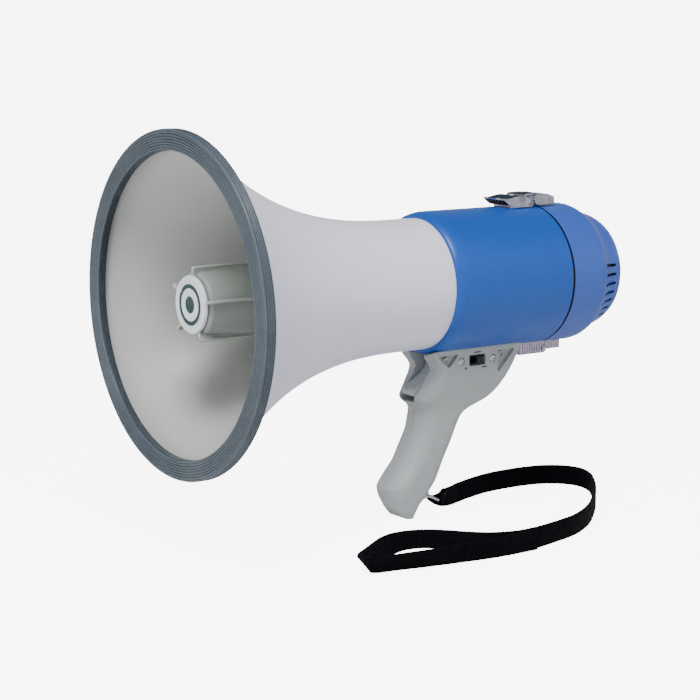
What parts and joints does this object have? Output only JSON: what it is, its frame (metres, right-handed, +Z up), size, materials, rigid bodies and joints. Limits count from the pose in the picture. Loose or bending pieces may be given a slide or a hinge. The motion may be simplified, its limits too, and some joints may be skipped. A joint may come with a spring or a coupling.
{
  "type": "handheld megaphone",
  "caption": "Handheld reflex-horn megaphone: grey flared bell with rubber rim, blue battery body with hinged rear cover and latch, pistol grip with trigger, slide switch and webbing strap.",
  "frame": {"origin": "middle of the pistol grip, where the hand closes", "axes": "+Z up, horn axis along Y with the mouth towards -Y and the rear cover towards +Y, +X the side with the slide switch"},
  "size_m": [0.2457, 0.3777, 0.282],
  "materials": {
    "bell_plastic": "fine satin grain",
    "rim_rubber": "ribbed satin rubber",
    "cup_plastic": "satin",
    "badge_plastic": "gloss",
    "housing_blue": "satin gloss paint-like plastic",
    "cover_blue": "satin gloss",
    "handle_plastic": "fine spark-eroded texture",
    "trigger_plastic": "satin",
    "black_plastic": "satin",
    "black_rubber": "matte",
    "chrome_steel": "polished",
    "screw_steel": "plated",
    "spring_steel": "drawn wire",
    "driver_steel": "zinc plated",
    "ferrite": "sintered",
    "diaphragm_film": "phenolic film",
    "copper_wire": "enamelled",
    "cell_wrap": "printed film with no marks",
    "contact_brass": "plated",
    "circuit_green": "solder mask",
    "transformer_iron": "varnished laminations",
    "wire_red": "insulation",
    "mic_metal": "anodised",
    "strap_webbing": "woven webbing"
  },
  "bodies": {
    "megaphone": {"horn_bell": "bell_plastic", "rim_guard": "rim_rubber", "reflex_cup": "cup_plastic", "cup_fins": "cup_plastic", "centre_badge": "badge_plastic", "throat_tube": "cup_plastic", "horn_backplate": "cup_plastic", "driver_plate": "driver_steel", "diaphragm": "diaphragm_film", "voice_coil": "copper_wire", "driver_magnet": "ferrite", "driver_yoke": "driver_steel", "driver_cover": "black_plastic", "main_housing": "housing_blue", "seam_gasket": "black_rubber", "battery_tray": "black_plastic", "battery_cells": "cell_wrap", "cell_caps": "screw_steel", "tray_contacts": "contact_brass", "contact_springs": "spring_steel", "amp_board": "circuit_green", "board_parts": "black_plastic", "output_transformer": "transformer_iron", "wiring": "wire_red", "handle_left": "handle_plastic", "handle_right": "handle_plastic", "handle_screws": "screw_steel", "pocket_screws": "screw_steel", "switch_screws": "chrome_steel", "slide_switch": "black_plastic", "trigger_pin": "screw_steel", "trigger_spring": "spring_steel", "micro_switch": "black_plastic", "latch_base": "chrome_steel", "hinge_base": "chrome_steel", "hinge_pin": "chrome_steel", "clip_bracket": "chrome_steel", "clip_screw": "screw_steel", "strap_ring": "chrome_steel", "strap": "strap_webbing"},
    "rear_cover": {"cover_shell": "cover_blue", "vent_screen": "black_plastic", "mic_grille": "black_plastic", "mic_holder": "black_rubber", "mic_capsule": "mic_metal", "volume_pot": "driver_steel", "hinge_leaf": "chrome_steel", "latch_keeper": "chrome_steel", "contact_board": "black_plastic", "cover_contacts": "contact_brass"},
    "volume_dial": {"volume_knob": "black_plastic"},
    "lever": {"latch_lever": "chrome_steel", "latch_pin": "chrome_steel", "hook_pin": "chrome_steel"},
    "hook": {"latch_hook": "chrome_steel"},
    "talk_trigger": {"trigger": "trigger_plastic"},
    "mode_slide": {"switch_knob": "black_plastic"}
  },
  "joints": [
    {"name": "cover_hinge", "type": "hinge", "parent": "megaphone", "child": "rear_cover", "pos_m": [0, 0.0926, 0.0576], "axis": [-1, 0, 0], "range_deg": [0, 85]},
    {"name": "latch_lift", "type": "hinge", "parent": "megaphone", "child": "lever", "pos_m": [0, 0.0831, 0.165], "axis": [-1, 0, 0], "range_deg": [0, 65]},
    {"name": "hook_swing", "type": "hinge", "parent": "lever", "child": "hook", "pos_m": [0, 0.0773, 0.1681], "axis": [-1, 0, 0], "range_deg": [-65, 0]},
    {"name": "trigger_pull", "type": "hinge", "parent": "megaphone", "child": "talk_trigger", "pos_m": [0, 0.011, 0.0565], "axis": [1, 0, 0], "range_deg": [0, 6], "stiffness_Nm_per_rad": 0.3, "springref_deg": -20.05},
    {"name": "mode_switch", "type": "slide", "parent": "megaphone", "child": "mode_slide", "axis": [0, -1, 0], "range_m": [0, 0.005]},
    {"name": "volume_turn", "type": "hinge", "parent": "rear_cover", "child": "volume_dial", "pos_m": [0, 0.1626, 0.1335], "axis": [0, 1, 0], "range_deg": [0, 290]}
  ],
  "couplings": [
    {"joint": "hook_swing", "follows": "latch_lift", "ratio": -1}
  ]
}
